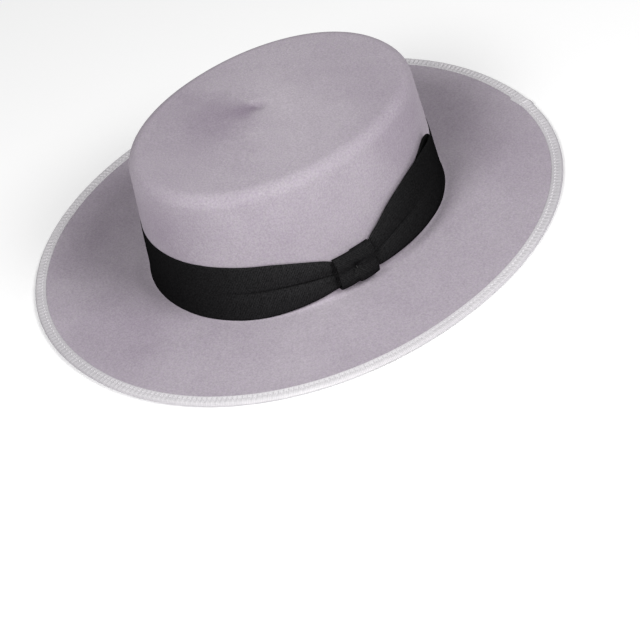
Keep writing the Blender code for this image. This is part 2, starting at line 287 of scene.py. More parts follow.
class Finish:
    """A material with a Principled shader, and the nodes that lead to it."""

    def __init__(self, name, **plain):
        self.material = bpy.data.materials.new(name)
        self.material.use_nodes = True
        self.tree = self.material.node_tree
        self.shader = self.tree.nodes["Principled BSDF"]
        for socket, value in plain.items():
            self.shader.inputs[socket.replace("_", " ")].default_value = value

    def node(self, kind, settings=None, sockets=None, output=0):
        """Any node: its settings are set first, then the values or links of its sockets."""
        new = self.tree.nodes.new(kind)
        for name, value in (settings or {}).items():
            setattr(new, name, value)
        for name, value in (sockets or {}).items():
            self.feed(new.inputs[name], value)
        return Value(self, new.outputs[output])

    def feed(self, socket, value):
        if isinstance(value, Value):
            self.tree.links.new(value.socket, socket)
        else:
            socket.default_value = value

    def place(self):
        """Place in the hat's own space, in metres."""
        return self.node("ShaderNodeTexCoord", output="Object")

    def on_cloth(self):
        """Place along and across the cloth, in metres, as two values."""
        return self.split(self.node("ShaderNodeUVMap", {"uv_map": "cloth"}))[:2]

    def mark(self, label):
        """One of the extra numbers that a mesh carries."""
        return self.node("ShaderNodeAttribute", {"attribute_name": label}, output="Fac")

    def split(self, vector):
        """The three parts of a vector."""
        parts = self.node("ShaderNodeSeparateXYZ", None, {0: vector}).socket.node.outputs
        return [Value(self, parts[axis]) for axis in "XYZ"]

    def distance(self, vector, spot):
        """How far a place is from a fixed spot."""
        settings = {"operation": "DISTANCE"}
        return self.node("ShaderNodeVectorMath", settings, {0: vector, 1: spot}, output="Value")

    def scaled(self, colour, factor):
        """A colour made lighter or darker by a factor."""
        sockets = {0: colour, "Scale": factor}
        return self.node("ShaderNodeVectorMath", {"operation": "SCALE"}, sockets)

    def speckle(self, vector, size, detail=2.0, roughness=0.5):
        """Noise whose blotches have about the given size."""
        sockets = {"Vector": vector, "Scale": 1 / size, "Detail": detail, "Roughness": roughness}
        return self.node("ShaderNodeTexNoise", None, sockets)

    def blend(self, share, first, second):
        """Colour between two colours."""
        sockets = {0: share}
        sockets[6] = first if isinstance(first, Value) else (*first, 1)
        sockets[7] = second if isinstance(second, Value) else (*second, 1)
        return self.node("ShaderNodeMix", {"data_type": "RGBA"}, sockets, output=2)

    def raised(self, height, depth):
        """Normal bent by a height between 0 and 1, whose full height is depth, in metres."""
        sockets = {"Height": height, "Distance": depth, "Strength": 1.0}
        return self.node("ShaderNodeBump", None, sockets)

    def wear(self, **links):
        """Links what changes over the surface to the shader and hands over the material."""
        for socket, value in links.items():
            self.feed(self.shader.inputs[socket.replace("_", " ")], value)
        print(f"finish {self.material.name}: {len(self.tree.nodes)} nodes")
        return self.material


# %% [markdown]
# Wool felt has no weave. Up close it is a mat of short fibres, from further off a soft mottle in
# which greyer and more purple wool were carded together, and across the whole hat a faint cloud
# where the nap was brushed one way or the other. So the wool's colour is a blend steered by
# noise of three sizes. The cell gives the colours and the sizes of these.

# %% The felt's wool
GREY_WOOL = (0.440, 0.405, 0.438)
PURPLE_WOOL = (0.418, 0.366, 0.432)
# Darker wool for the random cloud, which is also the colour of painted shade; lighter wool for painted light
DARK_WOOL_AND_SHADE = (0.252, 0.203, 0.266)
PAINTED_LIGHT_WOOL = (0.540, 0.495, 0.540)
BRIM_PURPLE = 0.1
ON_BRIM = (6 * MM, 14 * MM)
MOTTLE_SIZE = 1.6 * MM
MOTTLE_EDGE = (0.35, 0.65)
CLOUD_SIZE = 38.0 * MM
CLOUD_LEVEL = 0.45
CLOUD_SHADE = 0.6
FIBRE_SIZE = 1.1 * MM
FIBRE_DEPTH = 0.10 * MM
FIBRE_SHADE = 0.8
FIBRE_SHARE = 0.6

felt = Finish(
    "mauve_grey_felt",
    Roughness=0.95,
    Specular_IOR_Level=0.1,
    Sheen_Weight=0.04,
    Sheen_Roughness=0.6,
)
spot = felt.place()
mottle = felt.speckle(spot, MOTTLE_SIZE, detail=5.0, roughness=0.75)
cloud = felt.speckle(spot, CLOUD_SIZE, detail=3.0, roughness=0.6)
fibre = felt.speckle(spot, FIBRE_SIZE, detail=3.0, roughness=0.7)
x, y, z = felt.split(spot)
purple = mottle.between(*MOTTLE_EDGE) + (1 - z.between(*ON_BRIM)) * BRIM_PURPLE
wool = felt.blend(purple.clamped(), GREY_WOOL, PURPLE_WOOL)
print("felt: noise of", [size / MM for size in (FIBRE_SIZE, MOTTLE_SIZE, CLOUD_SIZE)], "mm")

# %% [markdown]
# Around the dent in the tip the nap was brushed in a swirl. How its sheen takes the light is
# painted into the wool's colour: painted shade on one side of the dent and in its pit, painted
# light on the other. The swirl is how squarely a place lies in one direction from the dent, from
# 1 straight ahead to -1 straight behind, and its effect fades with the distance from the dent.

# %% The swirl round the dent
DENT = (-9.3 * MM, -1.5 * MM)
NAP_WAY = (-0.35, -0.94)
NAP_REACH = (15 * MM, 90 * MM)
SWIRL_SOFT = 1 * MM
SWIRL_CLOUD = 0.5
DARK_SIDE = (0.25, 1.0)
LIGHT_SIDE = (-0.3, 0.9)
NAP_SHADE = 0.6
NAP_LIGHT = 0.35
PIT_REACH = (1.5 * MM, 7.0 * MM)
PIT_SHADE = 0.5
ON_TIP = (80 * MM, 88 * MM)

away = felt.distance(spot, (*DENT, front_top - FRONT_RISE / 2))
ahead = (x - DENT[0]) * NAP_WAY[0] + (y - DENT[1]) * NAP_WAY[1]
swirl = ahead / (away + SWIRL_SOFT) + (cloud - 0.5) * SWIRL_CLOUD
on_tip = z.between(*ON_TIP)
near_dent = (1 - away.between(*NAP_REACH)) * on_tip
# Mask of painted shade in the dent's pit
pit_shade = (1 - away.between(*PIT_REACH)) * on_tip
# Painted shade on one side of the swirl and in the pit
shade = (swirl.between(*DARK_SIDE) * near_dent + pit_shade * PIT_SHADE) * NAP_SHADE
# Painted light on the other side of the swirl
lifted = (swirl * -1).between(*LIGHT_SIDE) * near_dent * NAP_LIGHT
wool = felt.blend(lifted, wool, PAINTED_LIGHT_WOOL)
print("the swirl reaches", NAP_REACH[1] / MM, "mm from the dent")

# %% [markdown]
# Broad, soft patches of painted shade and painted light lie on the wool: darker where the crown
# shades the brim and where the wall turns away from the lamps, lighter in a few places. Each is
# a ball in the hat's own space that fades from its middle out. All the dark shares are added up
# and laid over the wool together, and last the fibres lighten and darken the colour and raise
# the surface by a tenth of a millimetre.

# %% The felt's finish
# A patch of painted shade or painted light: its place and reach are in millimetres, and its
# shade is below 0 where it is painted light
LightAndShadePatch = namedtuple("LightAndShadePatch", "x y z reach shade")
LIGHT_AND_SHADE_PATCHES = [
    LightAndShadePatch(-8, -138, 3, 75, 0.32),
    LightAndShadePatch(85, -45, 3, 48, -0.34),
    LightAndShadePatch(33, -8, 92, 45, -0.32),
    LightAndShadePatch(-8, -98, 68, 60, 0.42),
    LightAndShadePatch(63, 58, 70, 60, 0.48),
    LightAndShadePatch(5, 52, 91, 45, 0.22),
    LightAndShadePatch(85, 130, 3, 50, 0.24),
    LightAndShadePatch(-9, 134, 3, 60, 0.22),
    LightAndShadePatch(-125, -60, 3, 55, 0.32),
    LightAndShadePatch(-92, -100, 3, 55, 0.20),
    LightAndShadePatch(35, 135, 3, 45, 0.20),
    LightAndShadePatch(102, -92, 3, 42, -0.28),
    LightAndShadePatch(-11, -9, 93, 14, 0.14),
]

shade = shade + (cloud - CLOUD_LEVEL) * CLOUD_SHADE
# Each patch adds painted shade, or blends the wool towards painted light
for patch in LIGHT_AND_SHADE_PATCHES:
    off = felt.distance(spot, (patch.x * MM, patch.y * MM, patch.z * MM))
    here = 1 - off.between(0, patch.reach * MM)
    if patch.shade > 0:
        shade = shade + here * patch.shade
    else:
        wool = felt.blend(here * -patch.shade, wool, PAINTED_LIGHT_WOOL)
wool = felt.blend(shade.clamped(), wool, DARK_WOOL_AND_SHADE)
wool = felt.scaled(wool, (fibre - 0.5) * FIBRE_SHADE + 1)
fuzz = fibre * FIBRE_SHARE + mottle * (1 - FIBRE_SHARE)
felt_material = felt.wear(Base_Color=wool, Normal=felt.raised(fuzz, FIBRE_DEPTH))

# %% [markdown]
# The felt is lofted through rings: over the brim inwards, round the small hollow at the crown's
# foot, up the wall, over the rounded edge and across the tip to the dent. The brim carries the
# faint ridge that the blocking cord left in front. Each stretch has its own function, which
# gives as many rings as it is asked for.

# %% Rings of the crown and brim
FELT_TURNS = 320
FELT_EDGE_INSET = 2.1 * MM
BREAK_RADIUS = 1.6 * MM
DENT_RADIUS = 9.0 * MM
DENT_DEPTH = 1.4 * MM
LAST_SHARE = 0.004
RIDGE_HEIGHT = 0.45 * MM
RIDGE_REACH = 11 * MM
RIDGE_HALF_WIDTH = 2.5 * MM
RIDGE_TURN = math.radians(235)
RIDGE_SPREAD = math.radians(28)

turns = np.linspace(0, math.tau, FELT_TURNS, endpoint=False)


def level_ring(length, width, height):
    ring = oval(length, width, turns)
    ring[:, 2] = height
    return ring


def brim_rows(count):
    """Rings across the top of the brim, from the felt's edge in to the crown's foot."""
    start = np.array([BRIM_LENGTH, BRIM_WIDTH]) - 2 * FELT_EDGE_INSET
    end = np.array([CROWN_LENGTH, CROWN_WIDTH]) + 2 * BREAK_RADIUS
    rows = []
    for share in np.linspace(0, 1, count):
        length, width = start + (end - start) * share
        ring = level_ring(length, width, BRIM_TOP)
        reach = (width - CROWN_WIDTH) / 2
        bump = math.exp(-((reach - RIDGE_REACH) / RIDGE_HALF_WIDTH) ** 2)
        ring[:, 2] += RIDGE_HEIGHT * bump * np.exp(-((turns - RIDGE_TURN) / RIDGE_SPREAD) ** 2)
        rows.append(ring)
    return rows


def break_rows(count):
    """The small hollow between brim and wall."""
    rows = []
    for angle in np.linspace(0, math.pi / 2, count + 2)[1:-1]:
        out = BREAK_RADIUS * (1 - math.sin(angle))
        rows.append(on_wall(turns, BREAK_RADIUS * (1 - math.cos(angle)), out))
    return rows


def wall_rows(count):
    """Rings up the straight wall."""
    foot, top = wall_line(turns)
    room = top[:, 2] - foot[:, 2] - BREAK_RADIUS
    shares = np.linspace(0, 1, count)
    return [on_wall(turns, BREAK_RADIUS + room * share, 0.0) for share in shares]


def leaning_ring(inset, height):
    """A ring of the crown's top, drawn in by an inset, that leans with the tip."""
    length = CROWN_LENGTH - TAPER_LENGTH - 2 * inset
    width = CROWN_WIDTH - TAPER_WIDTH - 2 * inset
    ring = level_ring(length, width, height)
    ring[:, 2] += lean(ring[:, 1])
    return ring


def edge_rows(count):
    """The rounded edge between wall and tip."""
    rows = []
    for angle in np.linspace(0, math.pi / 2, count + 1)[1:]:
        inset = TIP_EDGE_RADIUS * (1 - math.cos(angle))
        height = BRIM_TOP + WALL_HEIGHT + TIP_EDGE_RADIUS * math.sin(angle)
        rows.append(leaning_ring(inset, height))
    return rows


def tip_rows(count):
    """Rings that close in on the dent."""
    length = CROWN_LENGTH - TAPER_LENGTH - 2 * TIP_EDGE_RADIUS
    width = CROWN_WIDTH - TAPER_WIDTH - 2 * TIP_EDGE_RADIUS
    rows = []
    for share in np.linspace(1, LAST_SHARE, count + 1)[1:]:
        ring = oval(length * share, width * share, turns)
        ring[:, :2] += np.array(DENT) * (1 - share)
        off_middle = (2 * ring[:, 0] / width) ** 2 + (2 * ring[:, 1] / length) ** 2
        off_dent = np.hypot(ring[:, 0] - DENT[0], ring[:, 1] - DENT[1]) / DENT_RADIUS
        sunk = DENT_DEPTH * (1 + np.cos(math.pi * np.minimum(off_dent, 1))) / 2
        domed = TIP_DOME * (1 - off_middle) - sunk
        ring[:, 2] = BRIM_TOP + CROWN_HEIGHT + lean(ring[:, 1]) + domed
        rows.append(ring)
    return rows


ROWS = {"brim": 26, "break": 4, "wall": 28, "edge": 11, "tip": 34}
rows = brim_rows(ROWS["brim"]) + break_rows(ROWS["break"]) + wall_rows(ROWS["wall"])
rows += edge_rows(ROWS["edge"]) + tip_rows(ROWS["tip"])
print("rings of the felt:", len(rows))

# %% [markdown]
# A real hood is never quite even, so a slow ripple of a tenth of a millimetre is added: it moves
# the crown's wall in and out, and the brim and the tip up and down. The rings then become one
# sheet that closes at the dent, and Solidify gives it the felt's thickness, inwards.

# %% Crown and brim
RIPPLE = 0.12 * MM
RIPPLE_SIZE = 60 * MM

skin = np.array(rows)
ripple = np.array([noise.noise(Vector(point) / RIPPLE_SIZE) for point in skin.reshape(-1, 3)])
ripple = RIPPLE * ripple.reshape(skin.shape[:2])
outwards = skin * (1, 1, 0)
outwards /= np.linalg.norm(outwards, axis=-1, keepdims=True)
upright = np.zeros((len(rows), 1))
upright[ROWS["brim"]:-ROWS["tip"]] = 1
skin += outwards * (ripple * upright)[..., None]
skin[..., 2] += ripple * (1 - upright)
felt_shell = grid_mesh("felt_shell", skin, around=True, tip=True)
thicken(felt_shell, FELT_WALL, INWARDS)
dress(felt_shell, "felt_body", felt_material)

# %% [markdown]
# Both ribbons are woven with a fat weft, so that fine ribs run across them from edge to edge.
# A rib is about a millimetre wide: too fine to model one by one, but it gives the ribbon its
# dull grain and its soft lustre, so it is drawn by the flat map that each ribbon carries. The
# thread that is wrapped round the ribs shows as a finer break-up along the ribbon. The black
# ribbon has a painted highlight, lighter colour just in front of the bow, and painted shade
# makes its sharp folds blacker.

# %% Black ribbon
RIB_PITCH = 1.05 * MM
RIB_DEPTH = 0.15 * MM
RIB_ROUND = 0.6
THREAD_PITCH = 0.5 * MM
THREAD_SHARE = 0.15
WAVER = 3.0
WAVER_SIZE = 8 * MM
BLACK_RIB = (0.0145, 0.0143, 0.0148)
PAINTED_HIGHLIGHT_RIB = (0.0370, 0.0366, 0.0378)
BLACK_GROOVE = (0.0005, 0.0005, 0.0006)
HIGHLIGHT_SPOT = (0.076, -0.044, 0.022)
HIGHLIGHT_REACH = (10 * MM, 118 * MM)
DUST_SIZE = 0.9 * MM
DUST_EDGE = (0.3, 0.7)
DUST_SHARE = 0.5
CREASE_SHADE = 0.5


def ribs(finish):
    """Height of the ribs between 0 and 1, with the threads round them."""
    along, across = finish.on_cloth()
    waver = finish.speckle(finish.place(), WAVER_SIZE, detail=1.0)
    rib = (along * (math.tau / RIB_PITCH) + waver * WAVER).sine() * 0.5 + 0.5
    thread = (across * (math.tau / THREAD_PITCH)).sine() * 0.5 + 0.5
    return rib ** RIB_ROUND * (1 - THREAD_SHARE) + thread * THREAD_SHARE


black = Finish("black_grosgrain", Roughness=1.0, Specular_IOR_Level=0.0)
black_ribs = ribs(black)
# Painted highlight: the ribs are lighter near a spot just in front of the bow
highlight = 1 - black.distance(black.place(), HIGHLIGHT_SPOT).between(*HIGHLIGHT_REACH)
rib_colour = black.blend(highlight, BLACK_RIB, PAINTED_HIGHLIGHT_RIB)
dust = black.speckle(black.place(), DUST_SIZE, detail=2.0, roughness=0.7).between(*DUST_EDGE)
grain = (black_ribs * (1 - DUST_SHARE) + dust * DUST_SHARE).clamped()
black_shade = black.blend(grain, BLACK_GROOVE, rib_colour)
# Painted shade in the folds and round the knot's dimple, towards the groove black
black_shade = black.blend(black.mark("painted_shade") * CREASE_SHADE, black_shade, BLACK_GROOVE)
black_material = black.wear(
    Base_Color=black_shade,
    Normal=black.raised(black_ribs, RIB_DEPTH),
)

# %% [markdown]
# The white ribbon has the same ribs. Painted shade makes two stretches of it greyer and painted
# light makes one in between lighter, and small stains are spread all over. Its mesh marks the
# painted shade in its needle holes and along its rim.

# %% White ribbon
WHITE_RIB = (0.78, 0.76, 0.78)
WHITE_GROOVE = (0.55, 0.53, 0.56)
DARKENED = (0.40, 0.37, 0.41)
PAINTED_SHADE_WHITE = (0.38, 0.365, 0.39)
PAINTED_LIGHT_WHITE = (0.95, 0.94, 0.95)
STAIN_SIZE = 6 * MM
RIB_SHARE = 0.6
STAIN_SHARE = 0.5
GROOVE_ROUGHNESS = 0.85
RIB_LUSTRE = 0.15

# A patch of painted shade or painted light: its place and reach are in millimetres, and its
# share is below 0 where it is painted light
RibbonLightPatch = namedtuple("RibbonLightPatch", "x y reach share")
RIBBON_LIGHT_PATCHES = [
    RibbonLightPatch(-35, -172, 120, 0.50),
    RibbonLightPatch(105, 132, 115, 0.50),
    RibbonLightPatch(130, -100, 110, -0.28),
]
RIBBON_PATCH_HEIGHT = 3 * MM

white = Finish("white_ribbon", Specular_IOR_Level=0.3, Sheen_Weight=0.2, Sheen_Roughness=0.5)
white_ribs = ribs(white)
stain = white.speckle(white.place(), STAIN_SIZE, detail=3.0)
grain = (white_ribs * RIB_SHARE + stain * STAIN_SHARE).clamped()
white_shade = white.blend(grain, WHITE_GROOVE, WHITE_RIB)
# Each patch blends towards painted shade, or towards painted light where its share is below 0
for patch in RIBBON_LIGHT_PATCHES:
    off = white.distance(white.place(), (patch.x * MM, patch.y * MM, RIBBON_PATCH_HEIGHT))
    here = (1 - off.between(0, patch.reach * MM)) * abs(patch.share)
    white_shade = white.blend(here, white_shade, PAINTED_SHADE_WHITE if patch.share > 0 else PAINTED_LIGHT_WHITE)
white_material = white.wear(
    # Painted shade in the needle holes and along the rim
    Base_Color=white.blend(white.mark("hole_and_rim_shade"), white_shade, DARKENED),
    Roughness=GROOVE_ROUGHNESS - white_ribs * RIB_LUSTRE,
    Normal=white.raised(white_ribs, RIB_DEPTH),
)

# %% [markdown]
# The binding is a ribbon folded over the brim's edge and sewn through with one row of stitches.
# Its section goes from the top inner edge round the fold to the lower inner edge, and then back
# along the inside, so that the ribbon has a wall. All that the sewing does to it hangs on one
# length, the stitch's pitch, so the section is repeated along the edge eight times a stitch.

# %% The binding's section
STITCH_PITCH = 3.2 * MM
SECTIONS_A_STITCH = 8
STITCH_INSET = 4.95 * MM

# Steps in from the brim's edge and up from where it rests, in millimetres, and the share of
# the pucker that each place takes
FoldRow = namedtuple("FoldRow", "inset height pucker")
FOLD = [
    FoldRow(7.40, 3.12, 0.2),
    FoldRow(7.15, 3.34, 0.3),
    FoldRow(6.60, 3.44, 0.4),
    FoldRow(6.10, 3.44, 0.5),
    FoldRow(5.65, 3.38, 0.4),
    FoldRow(5.30, 3.32, 0.4),
    FoldRow(4.95, 3.28, 0.4),
    FoldRow(4.60, 3.30, 0.6),
    FoldRow(4.25, 3.38, 0.9),
    FoldRow(3.80, 3.48, 1.0),
    FoldRow(3.20, 3.56, 1.0),
    FoldRow(2.50, 3.58, 0.8),
    FoldRow(1.80, 3.52, 0.6),
    FoldRow(1.10, 3.34, 0.4),
    FoldRow(0.50, 3.00, 0.3),
    FoldRow(0.08, 2.45, 0.2),
    FoldRow(0.00, 1.95, 0.2),
    FoldRow(0.20, 1.45, 0.1),
    FoldRow(0.80, 1.00, 0.0),
    FoldRow(2.20, 0.60, 0.0),
    FoldRow(4.20, 0.20, 0.0),
    FoldRow(6.20, 0.00, 0.0),
    FoldRow(7.40, 0.00, 0.0),
    FoldRow(7.40, 0.60, 0.0),
    FoldRow(4.20, 0.80, 0.0),
    FoldRow(2.00, 1.15, 0.0),
    FoldRow(1.20, 1.60, 0.0),
    FoldRow(1.10, 2.20, 0.0),
    FoldRow(1.70, 2.95, 0.0),
    FoldRow(4.95, 3.02, 0.0),
    FoldRow(7.40, 2.98, 0.0),
]
SHOWN_ROWS = 18
WALK_STEPS = 7200


def even_turns(length, width, pitch, parts):
    """Turns a fixed way apart round an oval, and its number of pitches, with some parts to each."""
    fine = np.linspace(0, math.tau, WALK_STEPS + 1)
    way = walked(oval(length, width, fine), 0)
    count = round(way[-1] / pitch)
    return np.interp(np.arange(count * parts) / (count * parts) * way[-1], way, fine), count


def in_from_edge(turns, inset):
    """Points at some insets from the brim's edge, level with the floor."""
    edge = oval(BRIM_LENGTH, BRIM_WIDTH, turns)
    inner = oval(BRIM_LENGTH - 2 * MM, BRIM_WIDTH - 2 * MM, turns)
    return edge + (inner - edge) * (inset / MM)[..., None]


stitch_line = BRIM_LENGTH - 2 * STITCH_INSET, BRIM_WIDTH - 2 * STITCH_INSET
edge_turns, stitches = even_turns(*stitch_line, STITCH_PITCH, SECTIONS_A_STITCH)
phase = np.arange(len(edge_turns)) / SECTIONS_A_STITCH
print("stitches round the brim:", stitches)

# %% [markdown]
# Each stitch pulls the ribbon down, so the fold swells into a row of small puffs outside the
# stitch line, and the inner edge draws into shallow teeth. No two puffs are quite alike. The
# ribbon's ends lap over each other at the back left, where it is two layers thick: one end
# stands out a little past the rim, and towards the other the ribbon reaches further in. Painted
# shade darkens the rim, least of all at the front left.

# %% What sewing, lap and handling do
PUCKER = 0.44 * MM
UNEVEN = 0.8
UNEVEN_STEP = 0.7
UNEVEN_SPOT = (0.3, 1.7)
HOLE_WIDTH = 0.42 * MM
HOLE_DEPTH = 0.2 * MM
STITCH_HOLES = [(0.32, STITCH_INSET + 0.55 * MM), (0.68, STITCH_INSET - 0.55 * MM)]
TOOTH = 0.16 * MM
LAP_START = math.radians(76.9)
LAP_END = math.radians(82.1)
LAP_EASE = math.radians(2.4)
LAP_RISE = 0.40 * MM
LAP_OUT = 0.9 * MM
LAP_IN = 1.7 * MM
FLAP_FADE = 3
CUT = math.radians(0.06)
STEEPEST = 60
TUCK = 0.4 * MM
TUCK_TURN = LAP_START + 0.5 * LAP_EASE
TUCK_WIDTH = 0.3 * LAP_EASE
TUCKS_A_STITCH = 1.5
EDGE_SHADE = 0.9
LEAST_SHADED_TURN = math.radians(-31)


def near(phases, centre, width):
    """How near each place is to the same place of every stitch, from 0 to 1."""
    off = np.abs((phases - centre + 0.5) % 1 - 0.5) * STITCH_PITCH
    return np.exp(-(off / width) ** 2)


def cut(turns, at):
    """A crisp step from 0 to 1 as the turns pass a cut edge of the ribbon."""
    return 1 / (1 + np.exp(np.clip((at - turns) / CUT, -STEEPEST, STEEPEST)))


spots = [Vector((place * UNEVEN_STEP, *UNEVEN_SPOT)) for place in phase]
uneven = np.array([noise.noise(spot) for spot in spots])
wave = 0.5 + 0.5 * np.cos(math.tau * phase)
puckered = (0.5 * wave + 0.5 * near(phase, 0, 2 * HOLE_WIDTH)) * (1 + UNEVEN * uneven)
lap = cut(edge_turns, LAP_START) * (1 - cut(edge_turns, LAP_END))
outer_flap = lap * np.clip((LAP_START + LAP_EASE - edge_turns) / LAP_EASE * FLAP_FADE, 0, 1)
inner_flap = lap * np.clip((edge_turns - LAP_START) / (LAP_END - LAP_START), 0, 1)
tuck = np.exp(-((edge_turns - TUCK_TURN) / TUCK_WIDTH) ** 2)
tuck *= np.cos(math.tau * phase * TUCKS_A_STITCH)
# Share of painted shade along the rim, least at the front left
rim_shade = np.sqrt(0.5 - 0.5 * np.cos(edge_turns - LEAST_SHADED_TURN))
print(f"puckers to {PUCKER * puckered.max() / MM:.2f} mm deep")

# %% [markdown]
# The rows of the section now become rings round the brim. Only the rows that show take up the
# puckers, the holes, the lap and the teeth; each effect fades across the ribbon by a simple
# share of the row's inset. The mesh closes both ways, around the brim and over the section.

# %% Brim binding
LAP_BEND = 1.5
LAP_FADE = 7.7
LAP_LEAST = 0.2
TEETH_FROM = 5.5
RIM_REACH = 2.0
RIM_INSET = 3.0
RIM_HEIGHT = 3.1
SHARP_ANGLE = math.radians(60)

fold_rows = []
hole_and_rim_shade_rows = []
for number, row in enumerate(FOLD):
    inset = np.full(len(phase), row.inset * MM)
    height = np.full(len(phase), row.height * MM)
    hole_and_rim_shade = np.zeros(len(phase))
    if number < SHOWN_ROWS:
        # The needle holes dip into the ribbon, and the same share paints shade into them
        for centre, at in STITCH_HOLES:
            beside = math.exp(-((row.inset * MM - at) / HOLE_WIDTH) ** 2)
            hole_and_rim_shade += beside * near(phase, centre, HOLE_WIDTH)
        height -= PUCKER * row.pucker * puckered + HOLE_DEPTH * hole_and_rim_shade
        height += TUCK * tuck * row.pucker
        lifted = np.clip((LAP_FADE - row.inset) / LAP_BEND, LAP_LEAST, 1)
        height += LAP_RISE * lap * lifted * min(row.inset / LAP_BEND, 1)
        inwards = max(row.inset - TEETH_FROM, 0) / (FOLD[0].inset - TEETH_FROM)
        inset += (TOOTH * (wave - 0.5) + LAP_IN * inner_flap) * inwards
        inset -= LAP_OUT * outer_flap * max(RIM_REACH - row.inset, 0) / RIM_REACH
    # Painted shade along the rim
    if row.inset < RIM_INSET and row.height < RIM_HEIGHT:
        hole_and_rim_shade += EDGE_SHADE * rim_shade
    points = in_from_edge(edge_turns, inset)
    points[:, 2] = height
    fold_rows.append(points)
    hole_and_rim_shade_rows.append(hole_and_rim_shade)
fold_skin = np.array(fold_rows)
flat = cloth_map(fold_skin, True, True)
flat[..., 0] = np.arange(len(phase) + 1) * STITCH_PITCH / SECTIONS_A_STITCH
marks = {"hole_and_rim_shade": np.array(hole_and_rim_shade_rows)}
binding = grid_mesh("binding_ribbon", fold_skin, True, True, flat=flat, marks=marks)
binding.data.set_sharp_from_angle(angle=SHARP_ANGLE)
dress(binding, "brim_binding", white_material)

# %% [markdown]
# The thread shows between its holes as a short slanted bead. One bead is a small tube that
# rises out of one hole and dips into the next; its points are worked out for all the stitches
# at once and joined in one mesh.

# %% Stitches
THREAD_RADIUS = 0.28 * MM
THREAD_LOW = 3.05 * MM
THREAD_RISE = 0.42 * MM
THREAD_SIDES = 6
THREAD_DIM = (0.74, 0.72, 0.74)
THREAD_BRIGHT = (0.86, 0.85, 0.86)
TWIST_SIZE = 0.5 * MM
TWIST_DEPTH = 0.05 * MM
STITCH_RINGS = 8


def bead_mesh(name, paths, radius):
    """One mesh of closed tubes; paths holds the points of each tube's middle line."""
    count, rings = paths.shape[:2]
    ahead = np.gradient(paths, axis=1)
    ahead /= np.linalg.norm(ahead, axis=-1, keepdims=True)
    side = np.cross(ahead, (0.0, 0.0, 1.0))
    side /= np.linalg.norm(side, axis=-1, keepdims=True)
    up = np.cross(side, ahead)
    around = np.linspace(0, math.tau, THREAD_SIDES, endpoint=False)[:, None]
    turn = side[:, :, None] * np.cos(around) + up[:, :, None] * np.sin(around)
    skin = paths[:, :, None] + turn * radius
    faces = []
    for first in range(0, count * rings * THREAD_SIDES, rings * THREAD_SIDES):
        last = first + (rings - 1) * THREAD_SIDES
        for low in range(first, last, THREAD_SIDES):
            high = low + THREAD_SIDES
            for here in range(THREAD_SIDES):
                there = (here + 1) % THREAD_SIDES
                faces.append((high + here, high + there, low + there, low + here))
        faces.append(tuple(range(first, first + THREAD_SIDES)))
        faces.append(tuple(range(last + THREAD_SIDES - 1, last - 1, -1)))
    return add_piece(name, skin.reshape(-1, 3).tolist(), faces)


share = np.linspace(0, 1, STITCH_RINGS)
(first, first_inset), (second, second_inset) = STITCH_HOLES
at = (np.arange(stitches)[:, None] + first + (second - first) * share) * SECTIONS_A_STITCH
stitch_turns = np.interp(at, np.arange(len(edge_turns) + 1), np.append(edge_turns, math.tau))
paths = in_from_edge(stitch_turns, first_inset + (second_inset - first_inset) * share)
paths[..., 2] = THREAD_LOW + THREAD_RISE * np.sin(math.pi * share)
paths[..., 2] += LAP_RISE * np.interp(stitch_turns, edge_turns, lap)
stitch_row = bead_mesh("binding_stitches", paths, THREAD_RADIUS)

thread = Finish(
    "white_thread",
    Roughness=0.55,
    Specular_IOR_Level=0.4,
    Sheen_Weight=0.1,
    Sheen_Roughness=0.5,
)
twist = thread.speckle(thread.place(), TWIST_SIZE, detail=1.0)
thread_material = thread.wear(
    Base_Color=thread.blend(twist, THREAD_DIM, THREAD_BRIGHT),
    Normal=thread.raised(twist, TWIST_DEPTH),
)
dress(stitch_row, None, thread_material)

# %% [markdown]
# The band lies on the crown all the way round, except near the bow, where it is drawn together:
# it narrows from its full width to the width of the knot, folds along its middle and puffs out
# above and below that fold. Behind the loop it lies flat and stays narrower for longer. Its two
# edges follow short tables, walked along the crown's foot from the knot's edge, one for each
# side of the knot, and each is read along one smooth curve.

# %% Band's tables of sections
RIBBON_WIDTH = 41.0 * MM
BOW_TURN = math.radians(-9.7)
PINCH_REACH = 85.0 * MM
PINCH_SWELL = 1.6 * MM
KNOT_WIDTH = 27.0 * MM

# Along is a share of PINCH_REACH from the knot's edge, low and high are the ribbon's edges as
# shares of RIBBON_WIDTH above the band's foot, swell is the share of PINCH_SWELL by which the
# ribbon puffs, fold is how sharp the fold along its middle is, and pleat how gathered it is
BandRow = namedtuple("BandRow", "along low high swell fold pleat")
BAND_IN_FRONT = [
    BandRow(0.00, 0.120, 0.600, 0.0, 0.8, 1.0),
    BandRow(0.05, 0.110, 0.665, 0.5, 1.0, 0.8),
    BandRow(0.12, 0.090, 0.728, 0.9, 1.0, 0.4),
    BandRow(0.22, 0.068, 0.800, 1.0, 1.0, 0.1),
    BandRow(0.33, 0.046, 0.866, 0.9, 1.0, 0.0),
    BandRow(0.46, 0.025, 0.922, 0.7, 0.9, 0.0),
    BandRow(0.60, 0.006, 0.952, 0.5, 0.7, 0.0),
    BandRow(0.77, 0.000, 0.980, 0.2, 0.3, 0.0),
    BandRow(1.00, 0.000, 1.000, 0.0, 0.0, 0.0),
]
